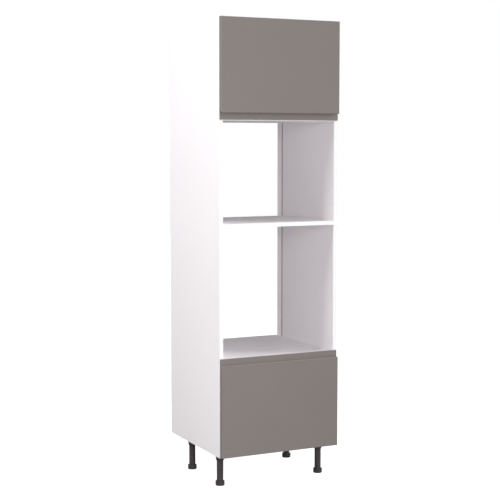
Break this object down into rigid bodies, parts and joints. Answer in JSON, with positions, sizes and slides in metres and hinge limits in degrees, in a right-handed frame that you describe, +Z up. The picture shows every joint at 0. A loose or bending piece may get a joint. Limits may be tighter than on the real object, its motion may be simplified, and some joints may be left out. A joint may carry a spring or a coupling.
{
  "type": "tall appliance housing unit",
  "caption": "Tall white appliance housing on black legs: hinged cupboard above, open oven and microwave niches, deep drawer below, grey-brown finger-pull fronts.",
  "frame": {"origin": "centre of the bounding box's bottom face, on the floor under the unit", "axes": "+Z up, front of the unit towards -Y, +X to the right as seen from the front"},
  "size_m": [0.6, 0.5904, 2.12],
  "materials": {
    "white_board": "white melamine-faced chipboard, satin with a faint pebble texture",
    "white_back_panel": "white faced fibreboard, satin",
    "white_edge_band": "white edge banding, satin",
    "grey_brown_front": "grey-brown faced board, dead matt",
    "zinc_cam": "die-cast zinc, dull",
    "zinc_steel": "zinc-plated pressed steel",
    "screw_steel": "zinc-plated steel",
    "nickel_steel": "nickel-plated steel, satin",
    "beech_dowel": "plain beech",
    "drawer_steel": "silver-grey powder coat",
    "drawer_plastic": "grey plastic",
    "drawer_board": "light grey faced chipboard, satin",
    "bumper": "translucent soft pad",
    "leg_plastic": "charcoal black moulded plastic"
  },
  "bodies": {
    "carcass": {"left_side_panel": "white_board", "right_side_panel": "white_board", "base_panel": "white_board", "lower_appliance_shelf": "white_board", "middle_appliance_shelf": "white_board", "upper_fixed_shelf": "white_board", "top_panel": "white_board", "lower_rear_rail": "white_board", "upper_rear_rail": "white_board", "cupboard_shelf": "white_board", "upper_back_panel": "white_back_panel", "lower_back_panel": "white_back_panel", "edge_banding": "white_edge_band", "cam_locks": "zinc_cam", "cam_bolts": "zinc_steel", "wall_brackets": "zinc_steel", "left_runner_cabinet_member": "zinc_steel", "right_runner_cabinet_member": "zinc_steel", "wall_bracket_screws": "screw_steel", "hinge_plate_screws": "screw_steel", "runner_screws": "screw_steel", "leg_screws": "screw_steel", "shelf_pins": "nickel_steel", "hinge_arms": "nickel_steel", "hinge_arm_pins": "nickel_steel", "hinge_mounting_plates": "nickel_steel", "wooden_dowels": "beech_dowel", "front_left_leg_socket": "leg_plastic", "front_left_leg_tube": "leg_plastic", "front_right_leg_socket": "leg_plastic", "front_right_leg_tube": "leg_plastic", "rear_left_leg_socket": "leg_plastic", "rear_left_leg_tube": "leg_plastic", "rear_right_leg_socket": "leg_plastic", "rear_right_leg_tube": "leg_plastic"},
    "cupboard_door_body": {"cupboard_door": "grey_brown_front", "hinge_cups": "nickel_steel", "hinge_cup_pins": "nickel_steel", "hinge_cup_screws": "screw_steel", "door_bumpers": "bumper"},
    "hinge_link_body": {"hinge_links": "nickel_steel"},
    "drawer_body": {"drawer_front": "grey_brown_front", "drawer_left_side": "drawer_steel", "drawer_right_side": "drawer_steel", "drawer_base": "drawer_board", "drawer_back": "drawer_board", "drawer_front_brackets": "drawer_steel", "drawer_gallery_rails": "drawer_steel", "gallery_rail_sockets": "drawer_plastic", "drawer_screws": "screw_steel", "drawer_bumpers": "bumper", "left_runner_drawer_member": "zinc_steel", "right_runner_drawer_member": "zinc_steel"},
    "runner_middle_body": {"left_runner_middle_member": "zinc_steel", "right_runner_middle_member": "zinc_steel"},
    "front_left_foot_body": {"front_left_foot": "leg_plastic"},
    "front_right_foot_body": {"front_right_foot": "leg_plastic"},
    "rear_left_foot_body": {"rear_left_foot": "leg_plastic"},
    "rear_right_foot_body": {"rear_right_foot": "leg_plastic"}
  },
  "joints": [
    {"name": "hinge_link_swing", "type": "hinge", "parent": "carcass", "child": "hinge_link_body", "pos_m": [0.2665, -0.26825, 1.8945], "axis": [0, 0, 1], "range_deg": [-21.05, 0]},
    {"name": "door_swing", "type": "hinge", "parent": "hinge_link_body", "child": "cupboard_door_body", "pos_m": [0.2895, -0.28425, 1.8945], "axis": [0, 0, 1], "range_deg": [0, 126]},
    {"name": "drawer_slide", "type": "slide", "parent": "carcass", "child": "drawer_body", "axis": [0, -1, 0], "range_m": [0, 0.46]},
    {"name": "runner_middle_slide", "type": "slide", "parent": "carcass", "child": "runner_middle_body", "axis": [0, -1, 0], "range_m": [0, 0.2305]},
    {"name": "front_left_foot_adjust", "type": "slide", "parent": "carcass", "child": "front_left_foot_body", "axis": [0, 0, -1], "range_m": [0, 0.025]},
    {"name": "front_right_foot_adjust", "type": "slide", "parent": "carcass", "child": "front_right_foot_body", "axis": [0, 0, -1], "range_m": [0, 0.025]},
    {"name": "rear_left_foot_adjust", "type": "slide", "parent": "carcass", "child": "rear_left_foot_body", "axis": [0, 0, -1], "range_m": [0, 0.025]},
    {"name": "rear_right_foot_adjust", "type": "slide", "parent": "carcass", "child": "rear_right_foot_body", "axis": [0, 0, -1], "range_m": [0, 0.025]}
  ],
  "couplings": [
    {"joint": "hinge_link_swing", "follows": "door_swing", "ratio": -0.16667},
    {"joint": "runner_middle_slide", "follows": "drawer_slide", "ratio": 0.5}
  ]
}
